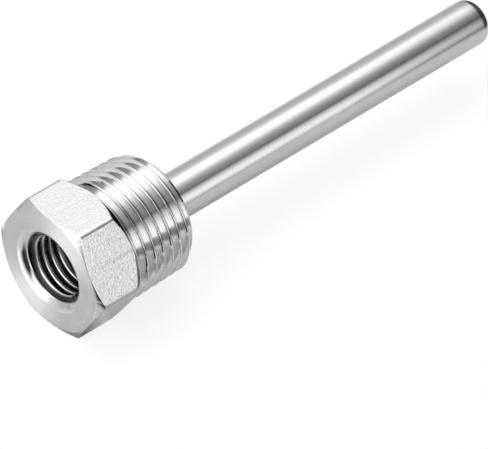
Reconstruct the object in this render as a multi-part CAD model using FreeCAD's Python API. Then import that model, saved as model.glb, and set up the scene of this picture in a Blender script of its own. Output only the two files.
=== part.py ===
import FreeCAD, Part
import math
import os

Vector = FreeCAD.Vector

# Thermowell: a hexagon head with a taper pipe thread and a tapped mouth, and a
# closed stem tube that is welded into it and keeps the process off the probe.
# The axis is X, from the open mouth to the closed tip. X = 0 is the shoulder
# where the taper thread starts. Two flats of the hexagon face up and down.
# Lengths are in millimetres and angles in degrees.

# Hexagon head, turned from hexagon bar with rounded corners
across_flats = 21.7
bar_corner_radius = 0.9
hex_length = 9.3
face_circle_inset = 0.1
front_chamfer_angle = 30.0
back_chamfer_angle = 50.0

# External taper pipe thread: its radius at the shoulder, its form and its end
threads_per_inch = 14.0
taper_on_diameter = 1.0 / 16.0
thread_length = 13.4
thread_crest_radius = 10.75
thread_crest_flat = 0.15
thread_flank_angle = 30.0
thread_end_chamfer = 1.5
first_groove = 0.08

# Mouth of the head, tapped M12 x 1.5
mouth_thread_diameter = 12.0
mouth_thread_pitch = 1.5
drilled_depth = 12.0
drill_point_half_angle = 59.0
countersink_diameter = 14.0
countersink_half_angle = 45.0
mouth_edge_radius = 1.0

# Stem tube, closed at the tip
stem_diameter = 8.0
stem_wall = 0.5
insertion_length = 85.0
tip_corner_radius = 1.95
tip_wall = 1.2
tip_inner_bevel = 1.2

# Seat of the tube in the head, and the weld that closes the joint
seat_lip_length = 1.2
probe_entry_clearance = 0.15
seat_clearance = 0.05
weld_leg = 1.1

# Values that follow from the sizes above
millimetres_per_inch = 25.4
minor_diameter_per_pitch = 1.0825
hexagon_sides = 6
largest_round = 0.95
half = 0.5

thread_pitch = millimetres_per_inch / threads_per_inch
flank_slope = math.tan(math.radians(thread_flank_angle))
thread_depth = (thread_pitch - thread_crest_flat) / (2 * flank_slope)
taper_slope = taper_on_diameter / 2

face_x = -hex_length
tapped_radius = half * (mouth_thread_diameter - minor_diameter_per_pitch * mouth_thread_pitch)
stem_radius = half * stem_diameter
probe_radius = stem_radius - stem_wall
lip_radius = probe_radius + probe_entry_clearance
seat_radius = stem_radius + seat_clearance
drill_shoulder_x = face_x + drilled_depth
lip_x = drill_shoulder_x + (tapped_radius - lip_radius) / math.tan(math.radians(drill_point_half_angle))
seat_x = lip_x + seat_lip_length


def line(a, b):
    return Part.makeLine(Vector(a[0], a[1], 0), Vector(b[0], b[1], 0))


def arc(a, middle, b):
    points = [Vector(x, r, 0) for x, r in (a, middle, b)]
    return Part.Arc(*points).toShape()


def turned(edges):
    """The solid that a closed outline swings through in one turn about the X axis."""
    return Part.Face(Part.Wire(edges)).revolve(Vector(0, 0, 0), Vector(1, 0, 0), 360)


def turned_polygon(points):
    """The same for an outline of straight lines between (x, radius) points."""
    return turned([line(a, b) for a, b in zip(points, points[1:] + points[:1])])


def hexagon_bar():
    """A length of hexagon bar about the X axis, from the face to the shoulder."""
    corner_radius = half * across_flats / math.cos(math.pi / hexagon_sides)
    turns = [2 * math.pi * k / hexagon_sides for k in range(hexagon_sides)]
    corners = [Vector(face_x, corner_radius * math.cos(t), corner_radius * math.sin(t)) for t in turns]
    bar = Part.Face(Part.makePolygon(corners + corners[:1])).extrude(Vector(hex_length, 0, 0))
    long_edges = [e for e in bar.Edges if abs(e.Vertexes[0].X - e.Vertexes[1].X) > half * hex_length]
    return bar.makeFillet(bar_corner_radius, long_edges)


def cone_along_x(end_x, end_radius, growth):
    """A cone with its small end at end_x. Growth is the radius gained for each millimetre of X."""
    length = 2 * hex_length / abs(growth) + 2 * hex_length
    far_x = end_x + math.copysign(length, growth)
    far_radius = end_radius + abs(growth) * length
    return turned_polygon([(end_x, 0), (end_x, end_radius), (far_x, far_radius), (far_x, 0)])


def hexagon_head():
    """The bar with a chamfer turned on both ends, so that each flat ends in an arc."""
    front_slope = math.tan(math.radians(front_chamfer_angle))
    back_slope = math.tan(math.radians(back_chamfer_angle))
    face_radius = half * across_flats - face_circle_inset
    shoulder_radius = half * across_flats
    front_cone = cone_along_x(face_x, face_radius, 1 / front_slope)
    back_cone = cone_along_x(0, shoulder_radius, -1 / back_slope)
    return hexagon_bar().common(front_cone).common(back_cone)


def helix(height, radius, start):
    """A wire that winds about Z at the thread's pitch and narrows with its taper, an edge for each turn."""
    wire = Part.makeLongHelix(thread_pitch, height, radius, -math.degrees(math.atan(taper_slope)))
    wire.translate(Vector(0, 0, start))
    return wire


def groove_cutter():
    """The solid that the thread's groove takes away: a V wound along the taper.

    It starts a turn before the shoulder and ends a turn past the end of the thread.
    """
    run_over = half * half * thread_crest_flat / flank_slope
    root = thread_crest_radius - thread_depth
    top = thread_crest_radius + run_over
    half_opening = (top - root) * flank_slope
    section = [(0, root), (half_opening, top), (-half_opening, top)]
    height = thread_length + 2 * thread_pitch
    wires = [helix(height, radius + taper_slope * thread_pitch, place) for place, radius in section]
    faces = []
    for a, b in zip(wires, wires[1:] + wires[:1]):
        faces += Part.makeLoft([a, b], False, True).Faces
    starts = [w.OrderedVertexes[0].Point for w in wires]
    ends = [w.OrderedVertexes[-1].Point for w in wires]
    for corners in (starts, ends):
        faces.append(Part.Face(Part.makePolygon(corners + corners[:1])))
    shell = Part.Shell(faces)
    shell.sewShape()
    cutter = Part.Solid(shell)
    if cutter.Volume < 0:
        cutter.reverse()
    cutter.rotate(Vector(0, 0, 0), Vector(0, 1, 0), 90)
    cutter.translate(Vector(first_groove - thread_pitch, 0, 0))
    return cutter


def taper_thread():
    """The threaded end of the head, chamfered at its free end."""
    chamfer_x = thread_length - thread_end_chamfer
    blank = turned_polygon(
        [
            (0, 0),
            (0, thread_crest_radius),
            (chamfer_x, thread_crest_radius - taper_slope * chamfer_x),
            (thread_length, thread_crest_radius - taper_slope * thread_length - thread_end_chamfer),
            (thread_length, 0),
        ]
    )
    return blank.cut(groove_cutter())


def mouth_and_bores():
    """What is drilled out of the head: the countersunk and tapped mouth, the lip and the tube's seat."""
    slant = math.radians(countersink_half_angle)
    corner = half * countersink_diameter
    tangent = mouth_edge_radius * math.tan(half * (math.pi / 2 - slant))
    face_point = (face_x, corner + tangent)
    cone_point = (face_x + tangent * math.cos(slant), corner - tangent * math.sin(slant))
    centre = (face_x + mouth_edge_radius, corner + tangent)
    middle_turn = math.pi + half * (math.pi / 2 - slant)
    middle_point = (
        centre[0] + mouth_edge_radius * math.cos(middle_turn),
        centre[1] + mouth_edge_radius * math.sin(middle_turn),
    )
    cone_depth = (corner - tapped_radius) / math.tan(slant)
    outside = face_x - mouth_edge_radius
    beyond = thread_length + mouth_edge_radius
    points = [
        cone_point,
        (face_x + cone_depth, tapped_radius),
        (drill_shoulder_x, tapped_radius),
        (lip_x, lip_radius),
        (seat_x, lip_radius),
        (seat_x, seat_radius),
        (beyond, seat_radius),
        (beyond, 0),
        (outside, 0),
        (outside, face_point[1]),
        face_point,
    ]
    edges = [line(a, b) for a, b in zip(points, points[1:])]
    edges.append(arc(face_point, middle_point, cone_point))
    return turned(edges)


def threaded_head():
    return hexagon_head().fuse(taper_thread()).cut(mouth_and_bores())


def quarter_arc(start, end, radius):
    """A quarter turn from a line along X, at start, to a line across it, at end."""
    bend = radius * (1 - math.sqrt(half))
    return arc(start, (end[0] - bend, start[1] - bend), end)


def stem_tube():
    """The closed tube, with its open end on the seat and its tip drawn in to a flat with a round edge."""
    tip_round = min(tip_corner_radius, largest_round * stem_radius)
    tip_x = insertion_length
    floor_x = tip_x - tip_wall
    round_start = (tip_x - tip_round, stem_radius)
    round_end = (tip_x, stem_radius - tip_round)
    points = [
        round_end,
        (tip_x, 0),
        (floor_x, 0),
        (floor_x, probe_radius - tip_inner_bevel),
        (floor_x - tip_inner_bevel, probe_radius),
        (seat_x, probe_radius),
        (seat_x, stem_radius),
        round_start,
    ]
    edges = [line(a, b) for a, b in zip(points, points[1:])]
    edges.append(quarter_arc(round_start, round_end, tip_round))
    return turned(edges)


def weld_bead():
    """The fillet weld between the tube and the end face of the thread."""
    toe = (thread_length, stem_radius + weld_leg)
    root = (thread_length, stem_radius)
    nose = (thread_length + weld_leg, stem_radius)
    return turned_polygon([nose, root, toe])


nodes = {
    "threaded_head": threaded_head,
    "stem_tube": stem_tube,
    "weld_bead": weld_bead,
}

os.makedirs("parts", exist_ok=True)
for name, make in nodes.items():
    shape = make()
    solid = shape.Solids[0]
    solid.exportStep("parts/" + name + ".step")
    print(name, "solids", len(shape.Solids), "valid", shape.isValid(), "volume", round(shape.Volume, 2))
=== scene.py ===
import math

import bmesh
import bpy
import numpy as np
from mathutils import Matrix, Vector

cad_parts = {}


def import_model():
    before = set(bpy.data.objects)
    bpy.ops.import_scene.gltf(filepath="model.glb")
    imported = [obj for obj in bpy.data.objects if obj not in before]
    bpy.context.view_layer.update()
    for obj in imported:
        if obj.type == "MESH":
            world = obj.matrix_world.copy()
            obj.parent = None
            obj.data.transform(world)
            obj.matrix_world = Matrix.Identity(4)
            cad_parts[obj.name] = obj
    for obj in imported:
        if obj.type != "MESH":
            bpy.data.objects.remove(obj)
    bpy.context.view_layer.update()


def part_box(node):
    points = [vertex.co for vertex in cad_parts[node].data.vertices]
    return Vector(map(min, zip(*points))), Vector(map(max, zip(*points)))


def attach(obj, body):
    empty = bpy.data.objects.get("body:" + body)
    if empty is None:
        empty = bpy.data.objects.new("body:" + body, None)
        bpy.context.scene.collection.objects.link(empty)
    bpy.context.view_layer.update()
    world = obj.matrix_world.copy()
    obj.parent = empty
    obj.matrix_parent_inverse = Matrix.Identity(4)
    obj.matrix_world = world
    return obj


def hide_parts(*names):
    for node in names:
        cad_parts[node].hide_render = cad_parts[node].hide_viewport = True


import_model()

# Thermowell: the visual model of the head, its two threads, the stem tube and the weld.
# Sizes are in millimetres, angles in degrees, and X runs along the axis as in the frame.
metre = 1000.0
inch = 25.4
half = 0.5
quarter = 0.25
full_turn = 2 * math.pi

# Boxes of the CAD nodes, in metres
head_low, head_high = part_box("threaded_head")
tube_low, tube_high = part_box("stem_tube")
weld_low, weld_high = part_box("weld_bead")

# Hexagon, from the frame and the sizes of its chamfers. Edges bent by more than the sharp angle stay sharp.
face_x = head_low[0] * metre
thread_end_x = head_high[0] * metre
flat_distance = head_high[2] * metre
bar_corner_radius = 0.9
face_circle_inset = 0.1
face_radius = flat_distance - face_circle_inset
front_chamfer_angle = 30.0
back_chamfer_angle = 46.0
hexagon_sides = 6
edge_break = 0.11
largest_break_share = 0.42
flat_steps = 24
corner_steps = 6
head_sharp_angle = 26

# External taper thread
threads_per_inch = 14
thread_pitch = inch / threads_per_inch
taper_on_diameter = 1 / 16
taper_slope = half * taper_on_diameter
thread_crest_radius = 10.75
thread_crest_flat = 0.15
thread_flank_angle = 30.0
thread_depth = (thread_pitch - thread_crest_flat) * half / math.tan(math.radians(thread_flank_angle))
thread_root_round = 0.06
thread_root_lift = 0.35
thread_end_chamfer = 1.5
first_groove = 0.08
thread_columns = 192
thread_flank_steps = 9
# Worn edge of the crest: its width, and (widths past the flank, share of the depth) for its points
crest_edge_width = 0.035
crest_edge_points = [(0.3, 0.004), (1.4, 0)]

# Levels of the cut thread's colour, by depth below the crest: a painted highlight on the crest, dark lines
# beside it that are partly tool marks and partly painted shade, and painted shade deep in the groove
thread_crest_highlight_and_shade_lines = [
    (-0.05, 1.2), (0.018, 1.2), (0.035, 0.35), (0.09, 0.45), (0.12, 1.1), (0.17, 1.1), (0.20, 0.6),
    (0.25, 0.7), (0.29, 1.05), (0.34, 0.85), (0.40, 1.0), (1.0, 1.0), (1.25, 0.6), (1.6, 0.45),
]

# Levels of the tapped wall's colour, by distance from the axis: a painted highlight on its crests and at the
# countersink's edge, and painted shade in its grooves
mouth_wall_highlight_and_shade = [
    (5.1, 1.5), (5.28, 1.45), (5.42, 0.6), (5.6, 0.4), (5.95, 0.35), (6.06, 0.5), (6.3, 1.2),
]

# Mouth and its internal thread
mouth_pitch = 1.5
mouth_major_radius = 6.0
mouth_minor_radius = 5.188
mouth_flank_angle = 30.0
mouth_crest_share = 0.25
mouth_root_share = 0.125
mouth_flank_steps = 6
mouth_crest_turns = (60, 45, 30, 15, 0)
countersink_radius = 7.0
countersink_half_angle = 45.0
mouth_edge_radius = 2.3
mouth_edge_steps = 10
turned_edge_bands = 2
mouth_grid_radius = 6.06
mouth_lip_round = 0.6
mouth_lip_turn = 76.0
mouth_lip_steps = 6
mouth_first_groove = 0.4
tap_end_x = 1.9
tap_lead_length = 2.4
drill_shoulder_x = 2.7
drill_point_half_angle = 59.0
mouth_columns = 144

# Seat of the tube
seat_radius = 4.05
lip_radius = 3.65
seat_x = tube_low[0] * metre

# Levels of the tube's colour near its tip, by angle about the axis: painted shade, with a little painted
# light at both ends of the span
tube_painted_shade_by_angle = [
    (95, 1.06), (106, 0.93), (126, 0.86), (130, 0.74), (134, 0.84), (139, 0.76), (145, 0.68), (149, 0.60),
    (154, 0.52), (157, 0.46), (159.5, 0.68), (162, 0.95), (166, 1.05),
]

# Tube and its closed tip
tube_wall = 0.5
tube_columns = 144
tip_round = 1.95
tip_steps = 14
tip_wall = 1.2
tip_bevel = 1.2
tip_flat_rings = (0.92, 0.5, 0)
tube_sharp_angle = 26

# Weld bead, with the powers by which a ripple rises and falls
weld_columns = 288
weld_ripples = 34
weld_ripple_height = 0.05
weld_ripple_lag = 0.5
weld_ripple_rise, weld_ripple_fall = 3, 6
weld_crown = 0.16
weld_crown_steps = 12
weld_sharp_angle = 60

# Meshes: points this near are one and edges this short go, both in metres
join_distance = 2e-7
shortest_edge = 1e-8
# Guards a division by a length of nothing, in millimetres
least_length = 1e-9
# Turns of a helix beyond the wall at its ends, which are cut off again
spare_turns = 3

# Between these a noise keeps almost all of its swing
noise_low, noise_high = 0.3, 0.7

# Numbers of the head's finishes
BAR, TURNED, BACK, EDGE, THREAD, MOUTH, CHAMFER = range(7)


class Shell:
    """Vertices and faces of one closed skin, gathered ring by ring about the X axis."""

    def __init__(self):
        self.points = []
        self.faces = []
        self.finish = []

    def ring(self, x, r, phi):
        """Adds a closed ring of points and gives their numbers. x and r may vary round the ring."""
        first = len(self.points)
        x, r = np.broadcast_to(x, phi.shape), np.broadcast_to(r, phi.shape)
        self.points += list(zip(x, r * np.cos(phi), r * np.sin(phi)))
        return np.arange(first, first + len(phi))

    def face(self, corners, finish):
        distinct = list(dict.fromkeys(int(c) for c in corners))
        if len(distinct) > 2:
            self.faces.append(distinct)
            self.finish.append(finish)

    def band(self, a, b, finish):
        """Quads between two rings with the same number of points."""
        for a0, b0, a1, b1 in zip(a, b, np.roll(a, -1), np.roll(b, -1)):
            self.face((a0, b0, b1, a1), finish)

    def zip_band(self, a, phi_a, b, phi_b, finish):
        """Triangles between two rings whose points stand at different angles."""
        i = j = 0
        while i < len(a) or j < len(b):
            next_a = phi_a[i + 1] if i + 1 < len(a) else full_turn + phi_a[0]
            next_b = phi_b[j + 1] if j + 1 < len(b) else full_turn + phi_b[0]
            on_a, on_b = a[i % len(a)], b[j % len(b)]
            if j >= len(b) or (i < len(a) and next_a <= next_b):
                self.face((on_a, on_b, a[(i + 1) % len(a)]), finish)
                i += 1
            else:
                self.face((on_a, on_b, b[(j + 1) % len(b)]), finish)
                j += 1

    def build(self, name, materials, node, sharp_angle):
        """Makes the piece that replaces a CAD node, with coincident points joined and faces outwards."""
        mesh = bpy.data.meshes.new(name)
        mesh.from_pydata([Vector(p) / metre for p in self.points], [], self.faces)
        for material in materials:
            mesh.materials.append(material)
        mesh.polygons.foreach_set("material_index", self.finish)
        b = bmesh.new()
        b.from_mesh(mesh)
        bmesh.ops.remove_doubles(b, verts=b.verts, dist=join_distance)
        bmesh.ops.dissolve_degenerate(b, edges=b.edges, dist=shortest_edge)
        bmesh.ops.recalc_face_normals(b, faces=b.faces)
        for f in b.faces:
            f.smooth = True
        for e in b.edges:
            e.smooth = not e.is_manifold or e.calc_face_angle() < math.radians(sharp_angle)
        b.to_mesh(mesh)
        b.free()
        piece = bpy.data.objects.new(name, mesh)
        bpy.context.scene.collection.objects.link(piece)
        normals = piece.modifiers.new("weighted_normals", "WEIGHTED_NORMAL")
        normals.keep_sharp = True
        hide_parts(node)
        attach(piece, "root")
        return piece


def even_turn(count):
    """Angles of that many columns, evenly spaced round the axis."""
    return np.arange(count) * 2 * math.pi / count


def hexagon_corner():
    """Half the angle of a side, the distance of a corner's centre, and the angle where its rounding ends."""
    half_side = math.pi / hexagon_sides
    centre = (flat_distance - bar_corner_radius) / math.cos(half_side)
    across, along = bar_corner_radius * math.sin(half_side), bar_corner_radius * math.cos(half_side)
    return half_side, centre, math.atan2(across, centre + along)


def hexagon_columns():
    """Angles of the hexagon's columns, with columns on both edges of each rounded corner."""
    half_side, _, edge = hexagon_corner()
    phi = []
    for side in range(hexagon_sides):
        corner = 2 * half_side * side
        middle = corner + half_side
        phi += list(corner + np.linspace(-edge, edge, corner_steps, endpoint=False))
        reach = math.tan(half_side - edge)
        phi += list(middle + np.arctan(np.linspace(-reach, reach, flat_steps, endpoint=False)))
    phi = np.array(phi)
    return np.sort(np.where(phi < 0, phi + full_turn, phi))


def hexagon_radius(phi):
    """Distance from the axis to the bar's surface in the direction phi."""
    half_side, centre, edge = hexagon_corner()
    off_corner = (phi + half_side) % (2 * half_side) - half_side
    flat = flat_distance / np.cos(half_side - np.abs(off_corner))
    inside = np.maximum(bar_corner_radius ** 2 - (centre * np.sin(off_corner)) ** 2, 0)
    return np.where(np.abs(off_corner) < edge, centre * np.cos(off_corner) + np.sqrt(inside), flat)


def broken_edges(corners, size, columns):
    """Rings for an outline of (x, r) corners, each with its sharp edge rounded to about that size."""
    outline, rings = [], []
    for corner in corners:
        outline.append(np.stack([np.broadcast_to(value, columns.shape) for value in corner]).astype(float))
    for before, corner, after in zip(outline, outline[1:], outline[2:]):
        ahead, behind = after - corner, before - corner
        far, near = np.hypot(*ahead), np.hypot(*behind)
        reach = np.minimum(size, largest_break_share * np.minimum(far, near))
        a = corner + behind * reach / np.maximum(near, least_length)
        c = corner + ahead * reach / np.maximum(far, least_length)
        rings += [a, quarter * a + half * corner + quarter * c, c]
    return rings


def helical_grid(shell, columns, pitch, start_x, profile, shape, limits, low_x, high_x, finish):
    """A threaded wall between two planes, as rows that follow the helix.

    profile lists (share of the pitch, share of the depth) over one pitch. shape gives the radius
    for x and a share of the depth. Each limit is a function of x with +1 where it caps the radius and
    -1 where it holds it up. Rows next to a crossing with a limit move onto it, so that the edge
    there is clean. Gives the first and last ring and the angles of their points.
    """
    phi = even_turn(columns)
    steps = len(profile)
    turns = int(math.ceil((high_x - low_x) / pitch)) + spare_turns
    shares = np.array([k + u for k in range(turns) for u, _ in profile])
    depths = np.array([d for _ in range(turns) for _, d in profile])
    x = start_x + pitch * (shares[None, :] + (phi / full_turn)[:, None])
    r = shape(x, depths[None, :])
    on_edge = np.zeros(x.shape, bool)
    for limit, side in limits:
        gap = side * (r - limit(x))
        crossing = gap[:, :-1] * gap[:, 1:] < 0
        share = np.where(crossing, gap[:, :-1] / np.where(crossing, gap[:, :-1] - gap[:, 1:], 1), 0)
        place = x[:, :-1] + share * np.diff(x, axis=1)
        near = crossing & (share <= half)
        far = crossing & (share > half)
        moved = x.copy()
        moved[:, :-1] = np.where(near, place, moved[:, :-1])
        moved[:, 1:] = np.where(far, place, moved[:, 1:])
        over = gap > 0
        shifted = np.zeros(x.shape, bool)
        shifted[:, :-1] |= near
        shifted[:, 1:] |= far
        x = moved
        r = np.where(over | shifted, limit(x), r)
        on_edge |= shifted
    numbers = np.zeros(x.shape, int)
    for i in range(columns):
        low_r, high_r = np.interp((low_x, high_x), x[i], r[i])
        first = np.searchsorted(x[i], low_x, side="right") - 1
        last = np.searchsorted(x[i], high_x, side="left")
        xs = np.concatenate(([low_x], x[i, first + 1:last], [high_x]))
        rs = np.concatenate(([low_r], r[i, first + 1:last], [high_r]))
        begin = len(shell.points)
        shell.points += list(zip(xs, rs * math.cos(phi[i]), rs * math.sin(phi[i])))
        numbers[i] = begin + np.clip(np.arange(x.shape[1]) - first, 0, last - first)
    for i in range(columns):
        crest_highlight_and_shade = (i + 1) % columns
        here, there = numbers[i], numbers[crest_highlight_and_shade]
        edge_here, edge_there = on_edge[i], on_edge[crest_highlight_and_shade]
        skip = steps if i == columns - 1 else 0
        for j in range(x.shape[1] - 1 - skip):
            a, b, c, d = here[j], there[j + skip], there[j + skip + 1], here[j + 1]
            if edge_here[j] or edge_here[j + 1] or edge_there[j + skip] or edge_there[j + skip + 1]:
                if edge_here[j + 1] and edge_there[j + skip]:
                    shell.face((a, b, d), finish)
                    shell.face((b, c, d), finish)
                else:
                    shell.face((a, b, c), finish)
                    shell.face((a, c, d), finish)
            else:
                shell.face((a, b, c, d), finish)
    return numbers[:, 0], numbers[:, -1], phi


def flank(u0, d0, u1, d1, count):
    """Evenly spaced points from (u0, d0) up to, but without, (u1, d1)."""
    return [(u0 + (u1 - u0) * k / count, d0 + (d1 - d0) * k / count) for k in range(count)]


def external_profile():
    """One pitch of the taper thread, from the middle of a groove: rounded root, flanks and crest."""
    root = thread_root_round / thread_pitch
    crest = half * (1 - thread_crest_flat / thread_pitch)
    lift = root / crest
    edge = crest_edge_width / thread_pitch
    profile = [(0, 1 - thread_root_lift * lift)]
    profile += flank(root, 1 - lift, crest - edge, edge / crest, thread_flank_steps)
    profile += [(crest - edge, edge / crest)]
    profile += [(crest + widths * edge, depth) for widths, depth in crest_edge_points]
    mirrored = [(1 - u, d) for u, d in profile[1:]]
    return profile + mirrored[::-1]


def internal_profile():
    """One pitch of the mouth's thread, from the middle of a groove: flat root, flanks and rounded crest."""
    root = half * mouth_root_share
    depth = mouth_major_radius - mouth_minor_radius
    round_radius = math.tan(math.radians(90 - mouth_flank_angle)) * half * mouth_crest_share * mouth_pitch
    crest = []
    for turn in map(math.radians, mouth_crest_turns):
        share = half - round_radius * math.sin(turn) / mouth_pitch
        crest.append((share, round_radius * (1 - math.cos(turn)) / depth))
    profile = [(0, 1)]
    profile += flank(root, 1, *crest[0], mouth_flank_steps)
    profile += crest
    mirrored = [(1 - u, d) for u, d in profile[1:-1]]
    return profile + mirrored[::-1]


def head_mesh():
    """The whole head in one skin: hexagon, shoulder, taper thread, end face, bores and tapped mouth."""
    shell = Shell()
    phi = hexagon_columns()
    bar = hexagon_radius(phi)
    mouth_phi = even_turn(mouth_columns)

    # Face, hexagon and shoulder
    slant = math.radians(countersink_half_angle)
    tangent = mouth_edge_radius * math.tan(half * slant)
    mouth_outer = countersink_radius + tangent
    front = math.tan(math.radians(front_chamfer_angle))
    back = math.tan(math.radians(back_chamfer_angle))
    corners = [
        (face_x, mouth_outer),
        (face_x, face_radius),
        (face_x + (bar - face_radius) * front, bar),
        (-(bar - flat_distance) * back, bar),
        (0, flat_distance),
        (0, thread_crest_radius),
    ]
    rings = [shell.ring(x, r, phi) for x, r in broken_edges(corners, edge_break, phi)]
    finishes = [TURNED] * 2 + [CHAMFER] * 3 + [BAR] * 3 + [BACK] * 3 + [TURNED] * 4
    for a, b, finish in zip(rings, rings[1:], finishes):
        shell.band(a, b, finish)

    # Rounded edge of the mouth
    centre = (face_x + mouth_edge_radius, mouth_outer)
    mouth_rings = []
    for t in np.linspace(0, slant, mouth_edge_steps):
        x = centre[0] - mouth_edge_radius * math.cos(t)
        r = centre[1] - mouth_edge_radius * math.sin(t)
        mouth_rings.append(shell.ring(x, r, mouth_phi))
    shell.zip_band(mouth_rings[0], mouth_phi, rings[0], phi, TURNED)

    # Inner edge of the countersink, a little rounded
    lip_turn = math.radians(mouth_lip_turn)
    lip_r = mouth_grid_radius + mouth_lip_round * math.sin(lip_turn)
    lip_start = lip_r - mouth_lip_round * math.sin(slant)
    lip_centre = (face_x + countersink_radius - lip_start + mouth_lip_round * math.cos(slant), lip_r)
    for t in np.linspace(slant, lip_turn, mouth_lip_steps):
        x = lip_centre[0] - mouth_lip_round * math.cos(t)
        r = lip_centre[1] - mouth_lip_round * math.sin(t)
        mouth_rings.append(shell.ring(x, r, mouth_phi))

    # Tapped wall, from the countersink to the end of the tap's lead
    grid_x = lip_centre[0] - mouth_lip_round * math.cos(lip_turn)
    depth = mouth_major_radius - mouth_minor_radius

    def countersink(x):
        return mouth_grid_radius - (x - grid_x)

    def lead(x):
        return np.minimum(mouth_major_radius, mouth_minor_radius + depth * (tap_end_x - x) / tap_lead_length)

    first, last, _ = helical_grid(
        shell, mouth_columns, mouth_pitch, grid_x - 2 * mouth_pitch + mouth_first_groove, internal_profile(),
        lambda x, d: mouth_minor_radius + depth * d, [(lead, 1), (countersink, -1)], grid_x, tap_end_x, MOUTH,
    )
    mouth_rings.append(first)
    for k, (a, b) in enumerate(zip(mouth_rings, mouth_rings[1:])):
        shell.band(a, b, TURNED if k < turned_edge_bands else EDGE)

    # Drilled end of the mouth, the lip and the seat of the tube
    drill_point = math.tan(math.radians(drill_point_half_angle))
    lip_x = drill_shoulder_x + (mouth_minor_radius - lip_radius) / drill_point
    inner = [last]
    for x, r in (
        (drill_shoulder_x, mouth_minor_radius),
        (lip_x, lip_radius),
        (seat_x, lip_radius),
        (seat_x, seat_radius),
        (thread_end_x, seat_radius),
    ):
        inner.append(shell.ring(x, r, mouth_phi))
    for a, b in zip(inner, inner[1:]):
        shell.band(a, b, MOUTH)

    # Taper thread, clipped by the shoulder and by the chamfer at its end
    def chamfer(x):
        end_radius = thread_crest_radius - taper_slope * thread_end_x - thread_end_chamfer
        return end_radius + (thread_end_x - x)

    thread_start = first_groove - 2 * thread_pitch - half * thread_pitch - quarter * thread_pitch
    start, end, thread_phi = helical_grid(
        shell, thread_columns, thread_pitch, thread_start, external_profile(),
        lambda x, d: thread_crest_radius - taper_slope * x - thread_depth * d,
        [(chamfer, 1)], 0.0, thread_end_x, THREAD,
    )
    shell.zip_band(rings[-1], phi, start, thread_phi, TURNED)
    shell.zip_band(end, thread_phi, inner[-1], mouth_phi, TURNED)
    return shell


def weld_mesh():
    """The fillet weld as a ring of overlapping ripples, inside the corner between thread end and tube."""
    shell = Shell()
    phi = even_turn(weld_columns)
    leg = (weld_high[0] - weld_low[0]) * metre
    inner = tube_high[2] * metre
    rings = [shell.ring(thread_end_x, inner, phi)]
    for k in range(weld_crown_steps + 1):
        t = k / weld_crown_steps
        lag = weld_ripple_lag * (2 * t - 1) ** 2
        wave = (phi * weld_ripples / full_turn + lag) % 1
        ripple = weld_ripple_height * (1 - (1 - wave) ** weld_ripple_rise) * (1 - wave ** weld_ripple_fall)
        rise = (weld_crown + ripple) * math.sin(math.pi * t)
        x = thread_end_x + leg * t + rise * math.sqrt(half)
        r = inner + leg * (1 - t) + rise * math.sqrt(half)
        rings.append(shell.ring(x, r, phi))
    for a, b in zip(rings, rings[1:] + rings[:1]):
        shell.band(a, b, 0)
    return shell


def tube_mesh():
    """The tube: its polished outside, the round edge and flat of the tip, and the bore."""
    shell = Shell()
    phi = even_turn(tube_columns)
    outer = tube_high[2] * metre
    tip_x = tube_high[0] * metre
    bore = outer - tube_wall
    floor_x = tip_x - tip_wall
    turns = np.linspace(0, math.pi / 2, tip_steps)
    profile = [(seat_x, bore), (seat_x, outer), (tip_x - 2 * tip_round, outer)]
    profile += [(tip_x - tip_round * (1 - math.sin(t)), outer - tip_round * (1 - math.cos(t))) for t in turns]
    profile += [(tip_x, share * (outer - tip_round)) for share in tip_flat_rings]
    profile += [(floor_x, 0), (floor_x, bore - tip_bevel), (floor_x - tip_bevel, bore), (seat_x, bore)]
    rings = [shell.ring(x, r, phi) for x, r in profile]
    for a, b in zip(rings, rings[1:]):
        shell.band(a, b, 0)
    return shell


def grey(level):
    """A grey as a colour socket takes it."""
    return (level, level, level, 1)


def math_node(tree, operation, a, b):
    """A sum or function of two values, each a number or a socket."""
    node = tree.nodes.new("ShaderNodeMath")
    node.operation = operation
    for k, value in enumerate((a, b)):
        if isinstance(value, (int, float)):
            node.inputs[k].default_value = value
        else:
            tree.links.new(value, node.inputs[k])
    return node.outputs[0]


def range_node(tree, value, start, end, low=0.0, high=1.0, interpolation="LINEAR"):
    """A level that goes from low to high while the value goes from start to end."""
    node = tree.nodes.new("ShaderNodeMapRange")
    node.interpolation_type = interpolation
    for name, number in (("From Min", start), ("From Max", end), ("To Min", low), ("To Max", high)):
        node.inputs[name].default_value = number
    tree.links.new(value, node.inputs["Value"])
    return node.outputs["Result"]


def ramp_node(tree, share, stops, top, interpolation="LINEAR"):
    """Levels as shares of the top one, from (place, level) stops that the share runs over."""
    ramp = tree.nodes.new("ShaderNodeValToRGB")
    ramp.color_ramp.interpolation = interpolation
    first, last = stops[0][0], stops[-1][0]
    places = ramp.color_ramp.elements
    while len(places) < len(stops):
        places.new(half)
    for element, (place, level) in zip(places, stops):
        element.position = (place - first) / (last - first)
        element.color = grey(level / top)
    tree.links.new(share, ramp.inputs["Fac"])
    return ramp.outputs["Color"]


def mix_node(tree, factor, otherwise, chosen):
    """One shader where the factor is 0, another where it is 1."""
    mix = tree.nodes.new("ShaderNodeMixShader")
    for k, socket in enumerate((factor, otherwise, chosen)):
        tree.links.new(socket, mix.inputs[k])
    return mix.outputs[0]


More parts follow.
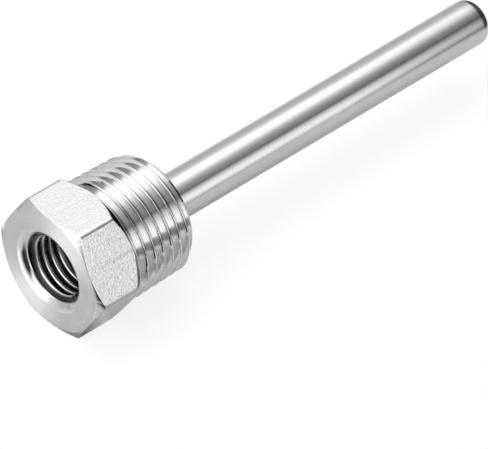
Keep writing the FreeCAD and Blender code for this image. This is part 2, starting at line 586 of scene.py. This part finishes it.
class Finish:
    """A metal whose colour, roughness and relief come from nodes in millimetres of the frame."""

    def __init__(self, name, colour, roughness, anisotropy=0.0):
        self.material = bpy.data.materials.new(name)
        self.material.use_nodes = True
        self.tree = self.material.node_tree
        self.shader = self.tree.nodes["Principled BSDF"]
        self.shader.inputs["Base Color"].default_value = (*colour, 1)
        self.shader.inputs["Metallic"].default_value = 1.0
        self.shader.inputs["Roughness"].default_value = roughness
        self.shader.inputs["Anisotropic"].default_value = anisotropy
        place = self.add("ShaderNodeTexCoord")
        scale = self.add("ShaderNodeVectorMath", operation="SCALE")
        scale.inputs["Scale"].default_value = metre
        self.link(place.outputs["Object"], scale.inputs[0])
        self.place = scale.outputs[0]
        self.colour = colour
        self.relief = None

    def add(self, kind, **settings):
        node = self.tree.nodes.new(kind)
        for key, value in settings.items():
            setattr(node, key, value)
        return node

    def link(self, a, b):
        self.tree.links.new(a, b)

    def math(self, operation, a, b):
        return math_node(self.tree, operation, a, b)

    def blend(self, a, b, share=half):
        """Two values added, with that share of the first."""
        return self.math("ADD", self.math("MULTIPLY", a, share), self.math("MULTIPLY", b, 1 - share))

    def stretched(self, x, y, z):
        """The place in millimetres, times a number for each axis."""
        node = self.add("ShaderNodeVectorMath", operation="MULTIPLY")
        node.inputs[1].default_value = (x, y, z)
        self.link(self.place, node.inputs[0])
        return node.outputs[0]

    def measure(self, axis):
        """The place along one axis, in millimetres."""
        split = self.add("ShaderNodeSeparateXYZ")
        self.link(self.place, split.inputs[0])
        return split.outputs[axis]

    def radius(self):
        """Distance from the X axis, in millimetres."""
        node = self.add("ShaderNodeVectorMath", operation="LENGTH")
        self.link(self.stretched(0, 1, 1), node.inputs[0])
        return node.outputs["Value"]

    def round_about(self):
        """Angle about the X axis from +Y towards +Z, in degrees."""
        turn = self.math("ARCTAN2", self.measure("Z"), self.measure("Y"))
        return self.math("MULTIPLY", turn, math.degrees(1))

    def below_crest(self):
        """How deep a point lies under the taper thread's crest, in millimetres."""
        narrowed = self.math("MULTIPLY", self.measure("X"), taper_slope)
        crest = self.math("SUBTRACT", thread_crest_radius, narrowed)
        return self.math("SUBTRACT", crest, self.radius())

    def noise(self, vector, scale, detail=4.0, roughness=0.55):
        """Cloudy noise, of so many waves a unit of the vector."""
        node = self.add("ShaderNodeTexNoise")
        node.inputs["Scale"].default_value = scale
        node.inputs["Detail"].default_value = detail
        node.inputs["Roughness"].default_value = roughness
        self.link(vector, node.inputs["Vector"])
        return node.outputs["Fac"]

    def rings(self, across, scale, detail=3.0):
        """Noise along one measure only, such as the lines that a tool leaves while the work turns."""
        node = self.add("ShaderNodeTexNoise", noise_dimensions="1D")
        node.inputs["Scale"].default_value = scale
        node.inputs["Detail"].default_value = detail
        self.link(across, node.inputs["W"])
        return node.outputs["Fac"]

    def ranged(self, value, low, high, start=noise_low, end=noise_high):
        """A level that goes from low to high while the value goes from start to end."""
        return range_node(self.tree, value, start, end, low, high)

    def steps(self, value, stops):
        """A level that changes from stop to stop of a (value, level) list."""
        top = max(level for _, level in stops)
        share = self.ranged(value, low=0, high=1, start=stops[0][0], end=stops[-1][0])
        return self.math("MULTIPLY", ramp_node(self.tree, share, stops, top), top)

    def weaken(self, level, share):
        """Keeps only a share of a level's difference from 1."""
        return self.math("ADD", self.math("MULTIPLY", self.math("SUBTRACT", level, 1.0), share), 1.0)

    def shade(self, value, low, high):
        """The base colour goes from low to high times its own value."""
        node = self.add("ShaderNodeMix", data_type="RGBA")
        node.inputs["A"].default_value = (*[c * low for c in self.colour], 1)
        node.inputs["B"].default_value = (*[c * high for c in self.colour], 1)
        self.link(self.ranged(value, low=0, high=1), node.inputs["Factor"])
        self.link(node.outputs["Result"], self.shader.inputs["Base Color"])

    def scale(self, factor):
        """Multiplies the base colour, or what shade() has made of it, by a factor."""
        socket = self.shader.inputs["Base Color"]
        node = self.add("ShaderNodeVectorMath", operation="SCALE")
        if socket.is_linked:
            self.link(socket.links[0].from_socket, node.inputs[0])
        else:
            node.inputs[0].default_value = self.colour
        self.link(factor, node.inputs["Scale"])
        self.link(node.outputs[0], socket)

    def rough(self, value, low, high):
        """The roughness goes from low to high."""
        self.link(self.ranged(value, low, high), self.shader.inputs["Roughness"])

    def bump(self, value, height):
        """Relief of that height in millimetres for the whole swing of the value."""
        node = self.add("ShaderNodeBump")
        node.inputs["Strength"].default_value = 1.0
        node.inputs["Distance"].default_value = height / metre
        self.link(value, node.inputs["Height"])
        if self.relief:
            self.link(self.relief, node.inputs["Normal"])
        self.relief = node.outputs["Normal"]
        self.link(self.relief, self.shader.inputs["Normal"])

    def turned_about_x(self):
        """Stretches the highlights across lines that run round the X axis."""
        self.shader.inputs["Anisotropic Rotation"].default_value = quarter
        node = self.add("ShaderNodeTangent", direction_type="RADIAL", axis="X")
        self.link(node.outputs["Tangent"], self.shader.inputs["Tangent"])


def bar_finish():
    """The skin of the hexagon bar: a sandy grain, weaker on the top flat, and faint draw lines along X."""
    f = Finish("bar_skin", (0.63, 0.63, 0.63), roughness=0.19)
    grain = f.noise(f.stretched(0.8, 1, 1), scale=2.8, detail=2.0, roughness=0.6)
    fine = f.noise(f.place, scale=5.0, detail=1.0, roughness=0.6)
    draw = f.noise(f.stretched(0.10, 1.3, 1.3), scale=1.0, detail=4.0, roughness=0.6)
    f.shade(f.blend(grain, fine, share=0.4), low=0.90, high=1.08)
    f.rough(draw, low=0.16, high=0.22)
    rubbed = f.ranged(f.measure("Z"), low=1.0, high=0.55, start=10.5, end=10.8)
    f.bump(f.math("MULTIPLY", grain, rubbed), height=0.042)
    f.bump(f.math("MULTIPLY", fine, rubbed), height=0.030)
    f.bump(draw, height=0.02)
    return f.material


def turned_finish():
    """Turned faces: rings about the axis, which fan the light out."""
    f = Finish("turned_face", (0.70, 0.70, 0.70), roughness=0.46, anisotropy=0.96)
    r = f.radius()
    fine = f.rings(r, scale=6.0, detail=4.0)
    wide = f.rings(r, scale=1.3, detail=2.0)
    stain = f.noise(f.place, scale=0.35, detail=3.0)
    f.shade(f.blend(fine, stain), low=0.93, high=1.06)
    f.rough(wide, low=0.43, high=0.48)
    f.bump(fine, height=0.002)
    f.turned_about_x()
    return f.material


def chamfer_finish():
    """The chamfer before the hexagon: turned with finer lines than the face."""
    f = Finish("front_chamfer", (0.64, 0.64, 0.64), roughness=0.14, anisotropy=0.5)
    fine = f.rings(f.radius(), scale=7.0, detail=3.0)
    f.shade(f.blend(fine, f.noise(f.place, scale=0.7, detail=3.0)), low=0.90, high=1.08)
    f.rough(fine, low=0.12, high=0.17)
    f.bump(fine, height=0.002)
    f.turned_about_x()
    return f.material


def back_shade_finish():
    """The chamfer behind the hexagon: painted dark as shade, and dark at a glancing angle too."""
    f = Finish("back_chamfer_shade", (0.16, 0.16, 0.16), roughness=0.18)
    # A dark tint at a glancing angle, painted shade as well
    f.shader.inputs["Specular Tint"].default_value = grey(0.15)
    lines = f.rings(f.radius(), scale=6.0, detail=3.0)
    f.shade(f.blend(lines, f.noise(f.place, scale=1.2)), low=0.7, high=1.2)
    f.rough(lines, low=0.15, high=0.21)
    f.bump(lines, height=0.003)
    return f.material


def edge_finish():
    """The rounded and countersunk edge of the mouth, smoother than the face."""
    f = Finish("mouth_edge", (0.64, 0.64, 0.64), roughness=0.13)
    lines = f.rings(f.radius(), scale=7.0, detail=3.0)
    f.shade(f.blend(lines, f.noise(f.place, scale=0.9)), low=0.88, high=1.08)
    f.rough(lines, low=0.11, high=0.17)
    f.bump(lines, height=0.0015)
    return f.material


def thread_finish():
    """Cut thread: bright, with fine tool lines that follow the groove, a painted highlight on the crest, dark
    lines beside it that are partly tool marks and partly painted shade, and painted shade deep in the groove.
    """
    f = Finish("cut_thread", (0.82, 0.82, 0.82), roughness=0.08)
    below = f.below_crest()
    lines = f.rings(below, scale=7.0, detail=4.0)
    patch = f.noise(f.place, scale=0.6, detail=3.0)
    tool = f.ranged(f.blend(lines, patch, share=0.75), low=0.82, high=1.10)
    # A noise that makes the painted highlight and shade uneven
    unevenness = f.ranged(f.noise(f.place, scale=0.5, detail=2.0), low=0.45, high=1.0)
    # Painted highlight on the crest and painted shade in the groove, by depth below the crest
    crest_highlight_and_shade = f.weaken(f.steps(below, thread_crest_highlight_and_shade_lines), unevenness)
    f.scale(f.math("MULTIPLY", tool, crest_highlight_and_shade))
    f.rough(patch, low=0.06, high=0.11)
    f.bump(lines, height=0.0022)
    f.bump(f.noise(f.place, scale=1.1, detail=2.0), height=0.004)
    return f.material


def mouth_finish():
    """The tapped and drilled wall: duller than the thread outside, with a painted highlight on its crests and
    painted shade in its grooves that fade deeper in, and painted shade darkest on its first flank.
    """
    f = Finish("tapped_wall", (0.58, 0.58, 0.58), roughness=0.16)
    r = f.radius()
    lines = f.rings(r, scale=6.0, detail=3.0)
    tool = f.ranged(f.blend(lines, f.noise(f.place, scale=0.8)), low=0.8, high=1.10)
    threaded = f.ranged(f.measure("X"), low=1.0, high=0.0, start=0.5, end=2.5)
    # Painted shade on the first flank inside the mouth, in its grooves only
    first = f.ranged(f.measure("X"), low=0.18, high=1.0, start=face_x + 1.7, end=face_x + 2.4)
    first = f.weaken(first, f.ranged(r, low=0.0, high=1.0, start=5.3, end=5.5))
    # The painted highlight and shade by radius, with the first flank's painted shade
    level = f.math("MULTIPLY", f.steps(r, mouth_wall_highlight_and_shade), first)
    f.scale(f.math("MULTIPLY", tool, f.weaken(level, threaded)))
    f.rough(lines, low=0.12, high=0.20)
    f.bump(lines, height=0.003)
    return f.material


def tube_finish():
    """The polished tube: long streaks, fine grinding lines round it, and duller near the tip, where its
    colour has painted shade by angle about the axis.
    """
    f = Finish("polished_tube", (0.58, 0.58, 0.58), roughness=0.12)
    streak = f.noise(f.stretched(0.03, 1.5, 1.5), scale=1.0, detail=3.0, roughness=0.6)
    around = f.noise(f.stretched(3.4, 0.35, 0.35), scale=1.0, detail=3.0, roughness=0.6)
    f.shade(f.blend(streak, around), low=0.92, high=1.05)
    near_tip = f.ranged(f.measure("X"), low=0.0, high=1.0, start=52, end=80)
    on_side = f.ranged(f.radius(), low=0.0, high=1.0, start=2.3, end=3.2)
    # Painted shade by angle about the axis, near the tip and on the side wall only
    painted_shade_by_angle = f.steps(f.round_about(), tube_painted_shade_by_angle)
    f.scale(f.weaken(painted_shade_by_angle, f.math("MULTIPLY", near_tip, on_side)))
    polish = f.ranged(streak, low=0.11, high=0.15)
    dulled = f.ranged(f.measure("X"), low=0, high=0.09, start=50, end=76)
    f.link(f.math("ADD", polish, dulled), f.shader.inputs["Roughness"])
    f.bump(streak, height=0.006)
    f.bump(around, height=0.0045)
    return f.material


def weld_finish():
    """The weld: satin, with a little straw tint."""
    f = Finish("weld_metal", (0.57, 0.56, 0.55), roughness=0.28)
    f.shade(f.noise(f.place, scale=1.4, detail=4.0), low=0.80, high=1.10)
    f.rough(f.noise(f.place, scale=2.5, detail=3.0), low=0.22, high=0.36)
    f.bump(f.noise(f.place, scale=6.0, detail=3.0), height=0.008)
    return f.material


# Outline of the floor: it ends close before the mouth, and the studio goes on below
floor_outline = [(-13, -50), (110, -50), (110, 25), (-13, 25)]
# A look of the floor is its diffuse level and its glow. It lights the part with the plain one.
floor_plain = (0.8, 0.0)
# The camera sees it as white with a shadow, and as nothing but white past a strip along X
floor_seen, floor_beyond = (0.26, 0.80), (0.0, 1.0)
floor_fades, floor_faded = -9.5, -12.5
# Reflections show the first look, and each zone takes over across its strip. The darker looks are painted
# shadow beside the part and close before its head, and the lighter ones give the plainer floor back:
# (axis, start and end of the strip, look)
floor_mirrored = (0.85, 0.22)
floor_shade_zones = [
    ("Y", -11.5, -15.0, (0.58, 0.04)),
    ("X", 14.0, 20.0, (0.77, 0.13)),
    ("Y", 2.0, 7.0, (0.60, 0.03)),
    ("X", -3.0, -7.0, (0.42, 0.02)),
    ("X", -9.2, -10.4, (0.77, 0.13)),
]


def floor():
    """The pale floor under the flat that the part lies on. It keeps the part's shadow, and in reflections it
    has painted shadow by place.
    """
    mesh = bpy.data.meshes.new("floor")
    corners = [(x / metre, y / metre, 0) for x, y in floor_outline]
    mesh.from_pydata(corners, [], [tuple(range(len(corners)))])
    piece = bpy.data.objects.new("floor", mesh)
    bpy.context.scene.collection.objects.link(piece)
    piece.location.z = head_low[2]
    material = bpy.data.materials.new("floor_white")
    material.use_nodes = True
    tree = material.node_tree
    tree.nodes.clear()
    path = tree.nodes.new("ShaderNodeLightPath")
    place = tree.nodes.new("ShaderNodeTexCoord")
    split = tree.nodes.new("ShaderNodeSeparateXYZ")
    tree.links.new(place.outputs["Object"], split.inputs[0])

    def pale(look):
        """A diffuse level with a glow added."""
        diffuse, glow = look
        shaded = tree.nodes.new("ShaderNodeBsdfDiffuse")
        shaded.inputs["Color"].default_value = grey(diffuse)
        if not glow:
            return shaded.outputs[0]
        light = tree.nodes.new("ShaderNodeEmission")
        light.inputs["Strength"].default_value = glow
        both = tree.nodes.new("ShaderNodeAddShader")
        tree.links.new(shaded.outputs[0], both.inputs[0])
        tree.links.new(light.outputs[0], both.inputs[1])
        return both.outputs[0]

    def over(axis, start, end):
        """0 on one side of a strip of the floor and 1 on the other, in millimetres along an axis."""
        return range_node(tree, split.outputs[axis], start / metre, end / metre)

    mirrored = pale(floor_mirrored)
    # Painted shadow zones on the floor, as reflections see it
    for axis, start, end, look in floor_shade_zones:
        mirrored = mix_node(tree, over(axis, start, end), mirrored, pale(look))
    seen = mix_node(tree, over("X", floor_fades, floor_faded), pale(floor_seen), pale(floor_beyond))
    surface = pale(floor_plain)
    for kind, look in (("Glossy", mirrored), ("Transmission", mirrored), ("Camera", seen)):
        surface = mix_node(tree, path.outputs["Is " + kind + " Ray"], surface, look)
    out = tree.nodes.new("ShaderNodeOutputMaterial")
    tree.links.new(surface, out.inputs["Surface"])
    mesh.materials.append(material)


# The studio's brightness round the X axis: (angle from +Y towards +Z, brightness)
studio_round = [
    (-180, 1.15), (-172, 0.90), (-160, 0.84), (-148, 0.84), (-130, 0.76), (-50, 0.80), (-29, 1.30),
    (-20, 1.00), (-10, 0.72), (4, 0.70), (18, 0.74), (30, 0.83), (41, 1.08), (52, 1.62), (62, 1.90),
    (76, 1.88), (84, 1.64), (92, 1.23), (99, 0.88), (108, 0.61), (120, 0.42), (129, 0.34), (135, 0.22),
    (140, 0.54), (148, 1.00), (158, 1.40), (167, 1.58), (174, 1.50), (180, 1.15),
]
# The same before the mouth, low down, higher up and steeply below: (angle from -X towards +Y, brightness)
studio_front = [
    (-90, 0.8), (-62, 0.3), (-44, 0.04), (-20, 0.04), (-10, 0.75), (0, 1.3), (8, 1.75), (24, 1.75), (36, 1.0),
    (45, 0.90), (60, 0.75), (90, 0.7),
]
studio_front_high = [
    (-90, 0.8), (-55, 1.0), (-35, 1.5), (-20, 1.7), (24, 1.7), (38, 1.0), (60, 0.9), (90, 0.9),
]
studio_near = [(-90, 0.8), (-62, 0.5), (-44, 0.12), (-28, 0.12), (-16, 0.80), (0, 0.9), (90, 0.9)]
# Where these take over: upwards, downwards and along -X, as shares of a direction
high_begins, high_full = 0.10, 0.32
near_begins, near_full = 0.54, 0.72
front_begins, front_full = 0.35, 0.65
# Where the studio falls dark along +X and above a height, and the share of the light that goes
dark_begins, dark_full, dark_share = 0.53, 0.72, 0.92
dark_above, dark_full_above = -0.42, -0.24
# Dim patches of the studio: direction, cosines from edge to middle and share of the light taken
dim_patches = [
    ((0.15, 0.87, 0.47), 0.92, 0.985, 0.55),
    ((0.37, -0.925, -0.10), 0.982, 0.997, 0.68),
    ((-0.20, 0.88, -0.45), 0.93, 0.98, 0.40),
    ((-0.10, -0.43, 0.86), 0.79, 0.93, 0.46),
    ((-0.15, -0.70, 0.70), 0.93, 0.985, 0.45),
]


def world():
    """A studio with a broad soft light above and behind, one before the mouth and dark sides between."""
    studio = bpy.data.worlds.new("studio")
    bpy.context.scene.world = studio
    studio.use_nodes = True
    tree = studio.node_tree
    tree.nodes.clear()
    place = tree.nodes.new("ShaderNodeTexCoord")
    split = tree.nodes.new("ShaderNodeSeparateXYZ")
    tree.links.new(place.outputs["Generated"], split.inputs[0])
    x, y, z = split.outputs["X"], split.outputs["Y"], split.outputs["Z"]
    forward = math_node(tree, "MULTIPLY", x, -1.0)
    downward = math_node(tree, "MULTIPLY", z, -1.0)
    brightest = max(level for _, level in studio_round + studio_front + studio_front_high)

    def rise(value, start, end):
        """Goes smoothly from 0 to 1 while the value goes from start to end."""
        return range_node(tree, value, start, end, interpolation="SMOOTHSTEP")

    def levels(angle, stops):
        """The studio's shares of its brightest level over an angle in radians, from stops in degrees."""
        share = range_node(tree, angle, math.radians(stops[0][0]), math.radians(stops[-1][0]))
        return ramp_node(tree, share, stops, brightest, interpolation="EASE")

    def blend(factor, a, b):
        node = tree.nodes.new("ShaderNodeMix")
        node.data_type = "RGBA"
        for key, value in (("Factor", factor), ("A", a), ("B", b)):
            tree.links.new(value, node.inputs[key])
        return node.outputs["Result"]

    def background():
        node = tree.nodes.new("ShaderNodeBackground")
        return node, node.inputs["Color"], node.inputs["Strength"]

    sideways = math_node(tree, "ARCTAN2", y, forward)
    low, high, near = (levels(sideways, stops) for stops in (studio_front, studio_front_high, studio_near))
    low = blend(rise(downward, near_begins, near_full), low, near)
    front = blend(rise(z, high_begins, high_full), low, high)
    around = levels(math_node(tree, "ARCTAN2", z, y), studio_round)
    both = blend(rise(forward, front_begins, front_full), around, front)

    dark = math_node(tree, "MULTIPLY", rise(x, dark_begins, dark_full), rise(z, dark_above, dark_full_above))
    light = math_node(tree, "SUBTRACT", 1.0, math_node(tree, "MULTIPLY", dark, dark_share))
    for direction, edge, middle, share in dim_patches:
        towards = tree.nodes.new("ShaderNodeVectorMath")
        towards.operation = "DOT_PRODUCT"
        towards.inputs[1].default_value = Vector(direction).normalized()
        tree.links.new(place.outputs["Generated"], towards.inputs[0])
        dim = math_node(tree, "MULTIPLY", rise(towards.outputs["Value"], edge, middle), share)
        light = math_node(tree, "MULTIPLY", light, math_node(tree, "SUBTRACT", 1.0, dim))

    level, colour, strength = background()
    tree.links.new(both, colour)
    tree.links.new(math_node(tree, "MULTIPLY", light, brightest), strength)
    white, colour, strength = background()
    colour.default_value = grey(1)
    strength.default_value = 1.0
    path = tree.nodes.new("ShaderNodeLightPath")
    out = tree.nodes.new("ShaderNodeOutputWorld")
    surface = mix_node(tree, path.outputs["Is Camera Ray"], level.outputs[0], white.outputs[0])
    tree.links.new(surface, out.inputs["Surface"])


# The photograph's camera, fitted to the outlines of the part: its place in millimetres and its axes.
# The clipping distances are in metres.
camera_place = (-623.16, -666.11, 822.65)
camera_right = (0.73179, -0.68076, 0.03233)
camera_up = (0.43708, 0.50519, 0.74414)
camera_forward = (0.52292, 0.53042, -0.66724)
camera_sensor_width = 36.0
camera_focal_length = 571.73
camera_clip_start, camera_clip_end = 0.05, 50.0


def camera():
    data = bpy.data.cameras.new("camera")
    data.sensor_fit = "HORIZONTAL"
    data.sensor_width = camera_sensor_width
    data.lens = camera_focal_length
    data.clip_start = camera_clip_start
    data.clip_end = camera_clip_end
    piece = bpy.data.objects.new("camera", data)
    bpy.context.scene.collection.objects.link(piece)
    axes = (Vector(camera_right), Vector(camera_up), -Vector(camera_forward))
    turn = Matrix(axes).transposed().to_4x4()
    piece.matrix_world = Matrix.Translation(Vector(camera_place) / metre) @ turn
    bpy.context.scene.camera = piece


camera()
floor()
world()
bpy.context.scene.view_settings.view_transform = "Standard"

# In the order of the finishes' numbers: BAR, TURNED, BACK, EDGE, THREAD, MOUTH, CHAMFER
head_finishes = [
    bar_finish(), turned_finish(), back_shade_finish(), edge_finish(),
    thread_finish(), mouth_finish(), chamfer_finish(),
]
head = head_mesh().build("threaded_head_visual", head_finishes, "threaded_head", head_sharp_angle)
weld = weld_mesh().build("weld_bead_visual", [weld_finish()], "weld_bead", weld_sharp_angle)
tube = tube_mesh().build("stem_tube_visual", [tube_finish()], "stem_tube", tube_sharp_angle)
